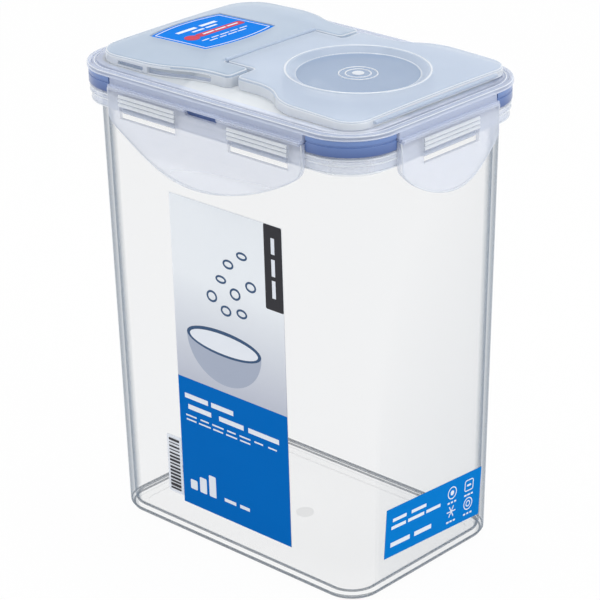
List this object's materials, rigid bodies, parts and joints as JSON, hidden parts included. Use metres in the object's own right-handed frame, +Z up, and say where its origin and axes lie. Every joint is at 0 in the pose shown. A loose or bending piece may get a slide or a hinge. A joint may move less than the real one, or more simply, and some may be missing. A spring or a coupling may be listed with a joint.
{
  "type": "cereal container with flip spout",
  "caption": "Tall see-through food container with a gasketed lid held by side latches, a fixed rear cover and a round flip-up pouring flap.",
  "frame": {"origin": "middle of the base, on the table", "axes": "+Z up; +X along the length towards the pouring flap's end; -Y towards the long side with the large label"},
  "size_m": [0.1502, 0.1096, 0.1905],
  "materials": {
    "clear_plastic": "clear, glossy",
    "frosted_lid": "milky, semi-gloss",
    "latch_plastic": "milky, semi-gloss",
    "blue_seal": "soft satin silicone",
    "dark_seal": "soft satin silicone",
    "front_print": "satin film",
    "side_print": "satin film",
    "top_print": "satin film"
  },
  "bodies": {
    "container": {"container": "clear_plastic", "front_label": "front_print", "side_label": "side_print"},
    "lid": {"lid": "frosted_lid", "lid_gasket": "blue_seal", "spout_seal": "dark_seal", "rear_cover": "frosted_lid", "flap_hinge": "frosted_lid", "top_label": "top_print", "front_hinge": "latch_plastic", "right_hinge": "latch_plastic", "back_hinge": "latch_plastic", "left_hinge": "latch_plastic"},
    "flap": {"flap": "frosted_lid"},
    "front_wing": {"front_latch": "latch_plastic"},
    "right_wing": {"right_latch": "latch_plastic"},
    "back_wing": {"back_latch": "latch_plastic"},
    "left_wing": {"left_latch": "latch_plastic"}
  },
  "joints": [
    {"name": "lid_lift", "type": "slide", "parent": "container", "child": "lid", "axis": [0, 0, 1], "range_m": [0, 0.03]},
    {"name": "flap_swing", "type": "hinge", "parent": "lid", "child": "flap", "pos_m": [-0.0129, 0, 0.18994], "axis": [0, -1, 0], "range_deg": [0, 135]},
    {"name": "front_latch_swing", "type": "hinge", "parent": "lid", "child": "front_wing", "pos_m": [0, -0.0504, 0.179], "axis": [-1, 0, 0], "range_deg": [0, 160]},
    {"name": "right_latch_swing", "type": "hinge", "parent": "lid", "child": "right_wing", "pos_m": [0.0727, 0, 0.179], "axis": [0, -1, 0], "range_deg": [0, 160]},
    {"name": "back_latch_swing", "type": "hinge", "parent": "lid", "child": "back_wing", "pos_m": [0, 0.0504, 0.179], "axis": [1, 0, 0], "range_deg": [0, 160]},
    {"name": "left_latch_swing", "type": "hinge", "parent": "lid", "child": "left_wing", "pos_m": [-0.0727, 0, 0.179], "axis": [0, 1, 0], "range_deg": [0, 160]}
  ],
  "couplings": [
    {"joint": "front_latch_swing", "follows": "lid_lift", "rad_per_m": 93},
    {"joint": "right_latch_swing", "follows": "lid_lift", "rad_per_m": 93},
    {"joint": "back_latch_swing", "follows": "lid_lift", "rad_per_m": 93},
    {"joint": "left_latch_swing", "follows": "lid_lift", "rad_per_m": 93}
  ]
}
